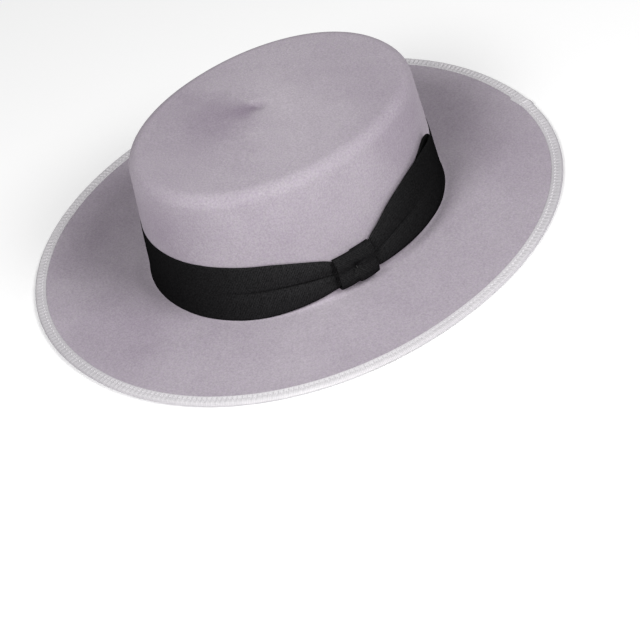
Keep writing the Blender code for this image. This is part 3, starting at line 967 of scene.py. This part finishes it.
BAND_BEHIND = [
    BandRow(0.00, 0.130, 0.590, 0.0, 0.0, 0.0),
    BandRow(0.08, 0.095, 0.650, 0.0, 0.0, 0.0),
    BandRow(0.22, 0.075, 0.780, 0.0, 0.0, 0.0),
    BandRow(0.40, 0.055, 0.850, 0.0, 0.0, 0.0),
    BandRow(0.60, 0.040, 0.870, 0.0, 0.0, 0.0),
    BandRow(0.80, 0.015, 0.880, 0.0, 0.0, 0.0),
    BandRow(1.00, 0.005, 0.885, 0.0, 0.0, 0.0),
    BandRow(1.30, 0.000, 0.900, 0.0, 0.0, 0.0),
    BandRow(1.80, 0.000, 0.960, 0.0, 0.0, 0.0),
    BandRow(2.30, 0.000, 1.000, 0.0, 0.0, 0.0),
]
READ_STEPS = 40
GIRTH_STEPS = 4000


def read_rows(table, at):
    """A table's columns at fractional row numbers, on a smooth curve through its rows."""
    values = np.array(table)
    last = len(values) - 1
    base = np.minimum(at.astype(int), last - 1)
    share = (at - base)[:, None]
    before, start, end, after = (values[np.clip(base + step, 0, last)] for step in (-1, 0, 1, 2))
    bend = (2 * before - 5 * start + 4 * end - after) * share ** 2
    twist = (3 * start - before - 3 * end + after) * share ** 3
    return type(table[0])(*(start + 0.5 * ((end - before) * share + bend + twist)).T)


def read_along(table, along):
    """The table's columns at some shares of its first column."""
    fine = np.linspace(0, len(table) - 1, READ_STEPS * len(table))
    rows = read_rows(table, fine)
    return type(rows)(*(np.interp(along, rows.along, column) for column in rows))


girth_turns = BOW_TURN + np.linspace(-math.pi, math.pi, GIRTH_STEPS + 1)
girth_way = walked(wall_line(girth_turns)[0], 0)
HALF_GIRTH = girth_way[-1] / 2


def turn_at(along):
    """Turns at some lengths along the crown's foot, from the bow's middle towards the back."""
    return np.interp(along, girth_way - HALF_GIRTH, girth_turns)


print(f"the crown is {2 * HALF_GIRTH:.4f} m round its foot")

# %% [markdown]
# From the tables come the band's lower and upper edge at each step along it. Across it, the
# rows lie closer together about the middle, where the fold is sharp. The band's foot flares a
# little, to ride over the small hollow between wall and brim, and its edges curl in towards the
# felt. How deep the fold is also goes into a mark, which paints shade into the fold.

# %% Hat band
BAND_STEP = 0.8 * MM
BAND_ROWS = 44
BAND_FOOT = 0.4 * MM
BAND_OUTSIDE = 0.55 * MM
BAND_WALL = 0.35 * MM
BAND_FLARE = 0.9 * MM
FLARE_HEIGHT = 3.0 * MM
FOLD_WIDTH = 0.022
FOLD_LIFT = 0.5 * MM
FOLD_DEPTH = 0.55 * MM
FOLD_LEAST = 0.3
CROWDING = 1.6
PLEAT_DEPTH = 0.35 * MM
PLEATS = 3
PUFF_ROUND = 0.8
EDGE_CURL = 0.15 * MM
CURL_POWER = 12
BAND_RIPPLE = 0.12 * MM
BAND_RIPPLE_SIZE = 14 * MM
RIPPLES_ACROSS = 2.5
RIPPLE_SPOT = 4.1


def shares_about(middle, count):
    """Shares from 0 to 1 that lie closer together about the middle fold."""
    spread = np.linspace(-1, 1, count)
    eased = np.copysign(np.abs(spread) ** CROWDING, spread)
    return np.where(eased < 0, middle + eased * middle, middle + eased * (1 - middle))[:, None]


def puff(across):
    """How much a gathered ribbon puffs out across its width, from 0 to 1 and back twice."""
    return np.abs(np.sin(math.tau * across)) ** PUFF_ROUND


steps = round(2 * HALF_GIRTH / BAND_STEP)
along = np.linspace(-HALF_GIRTH, HALF_GIRTH, steps, endpoint=False)
off_knot = np.maximum((np.abs(along) - KNOT_WIDTH / 2) / PINCH_REACH, 0)
sides = zip(read_along(BAND_IN_FRONT, off_knot), read_along(BAND_BEHIND, off_knot))
row = BandRow(*(np.where(along < 0, front, behind) for front, behind in sides))
across = shares_about(0.5, BAND_ROWS)
heights = BAND_FOOT + RIBBON_WIDTH * (row.low + (row.high - row.low) * across)
groove = np.exp(-((across - 0.5) / FOLD_WIDTH) ** 2) * row.fold
out = BAND_OUTSIDE + FOLD_LIFT * row.fold + PINCH_SWELL * row.swell * puff(across)
out = out - FOLD_DEPTH * groove * (FOLD_LEAST + (1 - FOLD_LEAST) * row.swell)
out = out + PLEAT_DEPTH * row.pleat * np.sin(math.tau * PLEATS * across)
out = out - EDGE_CURL * np.abs(2 * across - 1) ** CURL_POWER
out = out + BAND_FLARE * np.exp(-heights / FLARE_HEIGHT)
grid = [(a / BAND_RIPPLE_SIZE, b * RIPPLES_ACROSS) for b in across[:, 0] for a in along]
ripple = np.array([noise.noise(Vector((*place, RIPPLE_SPOT))) for place in grid])
out = out + BAND_RIPPLE * ripple.reshape(out.shape)
band_skin = on_wall(turn_at(along), heights, out)
flat = cloth_map(band_skin, True, False)
flat[..., 0] = np.append(along, HALF_GIRTH)
# The fold's depth is also the share of painted shade
band = grid_mesh("band_ribbon", band_skin, around=True, flat=flat, marks={"painted_shade": groove})
thicken(band, BAND_WALL, INWARDS)
dress(band, "hat_band", black_material)

# %% [markdown]
# The bow has one loop. The ribbon leaves the knot, runs back along the crown, stands off it
# along its lower edge, turns over in a soft fold and comes back underneath, leaving a narrow
# mouth at the top. So the table of its sections goes out along the front layer, round the fold
# and back along the layer behind.

# %% Bow loop
BOW_FOOT = 1.0 * MM
LOOP_REACH = 81.8 * MM
LOOP_DEPTH = 3.9 * MM
LOOP_SWELL = 1.3 * MM
LOOP_WALL = 0.6 * MM
LOOP_FOLD_DEPTH = 0.6 * MM
LOOP_FOLD_AT = 0.45
BACK_LAYER = 1.3 * MM
FRONT_LAYER = 2.1 * MM
LOOP_STEPS = 18
LOOP_ROWS = 36
LOOP_TUCK = 5.0 * MM

# Along is a share of LOOP_REACH from the knot's edge, low and high are as for the band, layer
# is 1 in front and 0 behind, out_low and out_high are the shares of LOOP_DEPTH by which the
# edges stand off, swell is a share of LOOP_SWELL and fold how sharp its middle fold is
LoopRow = namedtuple("LoopRow", "along low high layer out_low out_high swell fold")
LOOP = [
    LoopRow(0.000, 0.145, 0.600, 1.0, 0.00, 0.00, 0.0, 0.6),
    LoopRow(0.040, 0.136, 0.684, 1.0, 0.15, 0.03, 0.4, 1.0),
    LoopRow(0.130, 0.148, 0.790, 1.0, 0.50, 0.08, 0.9, 1.0),
    LoopRow(0.270, 0.166, 0.946, 1.0, 0.80, 0.05, 1.0, 1.0),
    LoopRow(0.430, 0.170, 1.052, 1.0, 0.96, 0.03, 0.9, 0.7),
    LoopRow(0.600, 0.176, 1.118, 1.0, 1.00, 0.08, 0.8, 0.2),
    LoopRow(0.770, 0.205, 1.160, 1.0, 0.85, 0.40, 0.6, 0.0),
    LoopRow(0.900, 0.245, 1.188, 1.0, 0.55, 0.85, 0.3, 0.0),
    LoopRow(0.970, 0.265, 1.194, 1.0, 0.20, 0.85, 0.0, 0.0),
    LoopRow(1.000, 0.270, 1.193, 0.6, 0.10, 0.50, 0.0, 0.0),
    LoopRow(0.985, 0.266, 1.190, 0.1, 0.00, 0.10, 0.0, 0.0),
    LoopRow(0.920, 0.245, 1.185, 0.0, 0.00, 0.00, 0.0, 0.0),
    LoopRow(0.780, 0.220, 1.125, 0.0, 0.00, 0.00, 0.0, 0.0),
    LoopRow(0.500, 0.200, 1.000, 0.0, 0.00, 0.00, 0.0, 0.0),
    LoopRow(0.250, 0.180, 0.830, 0.0, 0.00, 0.00, 0.0, 0.0),
    LoopRow(0.080, 0.145, 0.680, 0.0, 0.00, 0.00, 0.0, 0.0),
    LoopRow(0.000, 0.145, 0.600, 0.0, 0.00, 0.00, 0.0, 0.0),
]
last = len(LOOP) - 1
row = read_rows(LOOP, np.linspace(0, last, last * LOOP_STEPS + 1))
along = KNOT_WIDTH / 2 + row.along * LOOP_REACH
along[[0, -1]] -= LOOP_TUCK
across = shares_about(LOOP_FOLD_AT, LOOP_ROWS)
heights = BOW_FOOT + RIBBON_WIDTH * (row.low + (row.high - row.low) * across)
groove = np.exp(-((across - LOOP_FOLD_AT) / FOLD_WIDTH) ** 2) * row.fold * row.layer
out = BACK_LAYER + row.layer * (FRONT_LAYER - BACK_LAYER)
out = out + LOOP_DEPTH * (row.out_low + (row.out_high - row.out_low) * across)
out = out + LOOP_SWELL * row.swell * puff(across)
out = out - LOOP_FOLD_DEPTH * groove * row.layer
loop_skin = on_wall(turn_at(along), heights, out)
flat = cloth_map(loop_skin, False, False)
flat[..., 0] = flat[LOOP_ROWS // 2, :, 0]
# The fold's depth is also the share of painted shade
bow_loop = grid_mesh("bow_ribbon_loop", loop_skin, flat=flat, marks={"painted_shade": groove})
thicken(bow_loop, LOOP_WALL, BOTH_WAYS)
dress(bow_loop, "bow_loop", black_material)

# %% [markdown]
# The knot isn't tied: it is a short piece of the same ribbon wrapped twice over the drawn-in
# band and loop, its second turn lapped on the first, and caught down in the middle so that a
# small dimple forms, with creases that run out of it like rays. The section goes from the
# crown's wall round the lower corner, up the face and round the upper corner. The ribs run
# along the band, because this ribbon goes up and over, so its flat map is turned by a quarter.

# %% Bow knot
KNOT_LOW = BOW_FOOT + 3.8 * MM
KNOT_HEIGHT = 21.0 * MM
KNOT_BACK = 0.4 * MM
KNOT_FACE = 4.7 * MM
KNOT_CORNER = 2.4 * MM
KNOT_STEP = 0.7 * MM
KNOT_STEP_WIDTH = 0.12 * MM
KNOT_SWELL = 1.1 * MM
KNOT_WAIST = 0.03
KNOT_SAG = 0.5 * MM
KNOT_WALL = 0.8 * MM
DIMPLE_DEPTH = 1.9 * MM
DIMPLE_WIDTH = 3.6 * MM
DIMPLE_UP = 1.0 * MM
RAYS = 7
RAY_HEIGHT = 0.35 * MM
RAY_MIDDLE = 4.5 * MM
RAY_LENGTH = 3.0 * MM
KNOT_SHADE = 0.45
SHADE_UP = 1.5 * MM
SHADE_WIDTH = 2.5 * MM
KNOT_COLUMNS = 56
KNOT_FACE_ROWS = 30
KNOT_CORNER_ROWS = 7

along = np.linspace(-KNOT_WIDTH / 2, KNOT_WIDTH / 2, KNOT_COLUMNS)
half = KNOT_HEIGHT / 2
corner = np.linspace(0, math.pi / 2, KNOT_CORNER_ROWS)
corner_up = np.append(0, KNOT_CORNER * (1 - np.cos(corner)))
corner_out = np.append(KNOT_BACK, KNOT_FACE - KNOT_CORNER * (1 - np.sin(corner)))
face_up = np.linspace(KNOT_CORNER, KNOT_HEIGHT - KNOT_CORNER, KNOT_FACE_ROWS)[1:-1]
face_out = np.full(len(face_up), KNOT_FACE)
ups = np.concatenate([corner_up, face_up, KNOT_HEIGHT - corner_up[::-1]])[:, None] - half
out = np.concatenate([corner_out, face_out, corner_out[::-1]])[:, None]
on_face = out > KNOT_FACE - KNOT_CORNER

lapped = 1 / (1 + np.exp(-along / KNOT_STEP_WIDTH))
bulge = KNOT_SWELL * np.sin(math.pi * ups / half) ** 2
off_pinch = np.hypot(ups - DIMPLE_UP, along)
dimple = DIMPLE_DEPTH * np.exp(-(off_pinch / DIMPLE_WIDTH) ** 2)
rays = RAY_HEIGHT * np.cos(RAYS * np.arctan2(ups - DIMPLE_UP, along))
rays = rays * np.exp(-((off_pinch - RAY_MIDDLE) / RAY_LENGTH) ** 2)
out = out + (bulge - dimple + rays + KNOT_STEP * lapped) * on_face
heights = KNOT_LOW + half + ups * (1 + KNOT_STEP / half * lapped)
sag = np.cos(math.pi * (np.abs(along) * 4 / KNOT_WIDTH - 1) / 2) * (ups < 0)
heights = heights - KNOT_SAG * sag * (ups / half) ** 2
waist = 1 - KNOT_WAIST * np.cos(math.pi * ups / half / 2)
wrap = on_wall(turn_at(along * waist), heights, out)
flat = np.stack([walked(wrap, 0), walked(wrap, 1)], axis=-1)
# Painted shade, strongest just above the dimple and a little darker over the whole knot
off_shade = np.hypot(ups - DIMPLE_UP - SHADE_UP, along)
painted_knot_shade = KNOT_SHADE + (1 - KNOT_SHADE) * np.exp(-(off_shade / SHADE_WIDTH) ** 2)
knot = grid_mesh("bow_ribbon_knot", wrap, flat=flat, marks={"painted_shade": painted_knot_shade})
thicken(knot, KNOT_WALL, BOTH_WAYS)
dress(knot, "bow_knot", black_material)

# %% [markdown]
# One short, nearly upright stitch of black thread holds the dimple down. It is a bead like those
# of the white stitches, and it bows out a little between its two holes.

# %% Catch stitch
CATCH_RADIUS = 0.3 * MM
CATCH_HALF_LENGTH = 1.2 * MM
CATCH_SLANT = 0.3 * MM
CATCH_DOWN = 0.2 * MM
CATCH_RISE = 0.7 * MM
BLACK_THREAD = (0.012, 0.012, 0.012)
WORN_THREAD = (0.032, 0.032, 0.032)

share = np.linspace(-1, 1, STITCH_RINGS)
catch_heights = KNOT_LOW + half - CATCH_DOWN - CATCH_HALF_LENGTH * share
catch_out = KNOT_FACE - CATCH_RISE * (1 - np.cos(share * math.pi / 2))
catch = on_wall(turn_at(CATCH_SLANT * share), catch_heights, catch_out)[None]
catch_stitch = bead_mesh("bow_catch_stitch", catch, CATCH_RADIUS)
black_thread = Finish("black_thread", Roughness=0.5)
twist = black_thread.speckle(black_thread.place(), TWIST_SIZE)
thread_colour = black_thread.blend(twist, BLACK_THREAD, WORN_THREAD)
dress(catch_stitch, None, black_thread.wear(Base_Color=thread_colour))

# %% [markdown]
# The hat lies on a plain pale floor that runs far past the picture. A slight glow of the floor
# itself, like that of a light table, keeps the shadows pale.

# %% Floor
FLOOR_SIZE = 30.0
FLOOR_SIDES = [(-1, -1, 0), (1, -1, 0), (1, 1, 0), (-1, 1, 0)]
FLOOR_PAINT = (0.93, 0.93, 0.93, 1)

floor_corners = [Vector(side) * FLOOR_SIZE / 2 for side in FLOOR_SIDES]
floor = add_piece("floor", floor_corners, [(0, 1, 2, 3)])
paint = Finish(
    "pale_floor",
    Roughness=0.9,
    Specular_IOR_Level=0.1,
    Emission_Color=(1, 1, 1, 1),
    Emission_Strength=0.15,
)
floor.data.materials.append(paint.wear(Base_Color=FLOOR_PAINT))
floor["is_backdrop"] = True

# %% [markdown]
# The camera looks down on the bow's side from the front left, through a long lens, and is
# rolled, so that the hat tips to one side in the picture. The light is soft: two large lamps,
# one to the left and one to the right of the camera, and a faint even surrounding.

# %% Camera and light
CAMERA_AZIMUTH = math.radians(59.06)
CAMERA_HEIGHT = math.radians(39.10)
CAMERA_ROLL = math.radians(-15.04)
CAMERA_AWAY = 1.8157
CAMERA_LENS = 159.3
CAMERA_NEAR = 0.05
AIM = Vector((46.9, -31.6, -36.6)) * MM
LAMP_AWAY = 2.5
LAMP_SIZE = 1.2
SURROUNDING = 0.10


def direction(azimuth, elevation):
    """Unit vector from the hat towards a place seen at an azimuth and an elevation."""
    flat = math.cos(elevation)
    return Vector((math.sin(azimuth) * flat, -math.cos(azimuth) * flat, math.sin(elevation)))


def lamp(name, azimuth, elevation, power):
    """Square area lamp that points at the hat."""
    light = bpy.data.lights.new(name, "AREA")
    light.shape = "SQUARE"
    light.size = LAMP_SIZE
    light.energy = power
    new = bpy.data.objects.new(name, light)
    towards = direction(math.radians(azimuth), math.radians(elevation))
    new.location = towards * LAMP_AWAY
    new.rotation_mode = "QUATERNION"
    new.rotation_quaternion = towards.to_track_quat("Z", "Y")
    bpy.context.collection.objects.link(new)


camera = bpy.data.objects.new("camera", bpy.data.cameras.new("camera"))
back = direction(CAMERA_AZIMUTH, CAMERA_HEIGHT)
level = Vector((math.cos(CAMERA_AZIMUTH), math.sin(CAMERA_AZIMUTH), 0))
stand = Matrix((level, back.cross(level), back)).transposed()
rolled = (stand @ Matrix.Rotation(CAMERA_ROLL, 3, "Z")).to_4x4()
camera.matrix_world = Matrix.Translation(AIM + back * CAMERA_AWAY) @ rolled
camera.data.lens = CAMERA_LENS
camera.data.clip_start = CAMERA_NEAR
bpy.context.collection.objects.link(camera)
bpy.context.scene.camera = camera

lamp("lamp_left", azimuth=20, elevation=45, power=39)
lamp("lamp_right", azimuth=110, elevation=45, power=41)
world = bpy.data.worlds.new("surrounding")
bpy.context.scene.world = world
world.use_nodes = True
background = world.node_tree.nodes["Background"]
background.inputs["Color"].default_value = (1, 1, 1, 1)
background.inputs["Strength"].default_value = SURROUNDING
bpy.context.scene.view_settings.view_transform = "Standard"
print("camera at", tuple(round(side, 3) for side in camera.matrix_world.translation))

# %% Sizes and finish
dressed_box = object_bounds()
sizes = {"packed": [list(corner) for corner in packed_box], "dressed": [list(corner) for corner in dressed_box]}
for name, (low_corner, high_corner) in sizes.items():
    print(name, [round(side, 4) for side in low_corner], [round(side, 4) for side in high_corner])
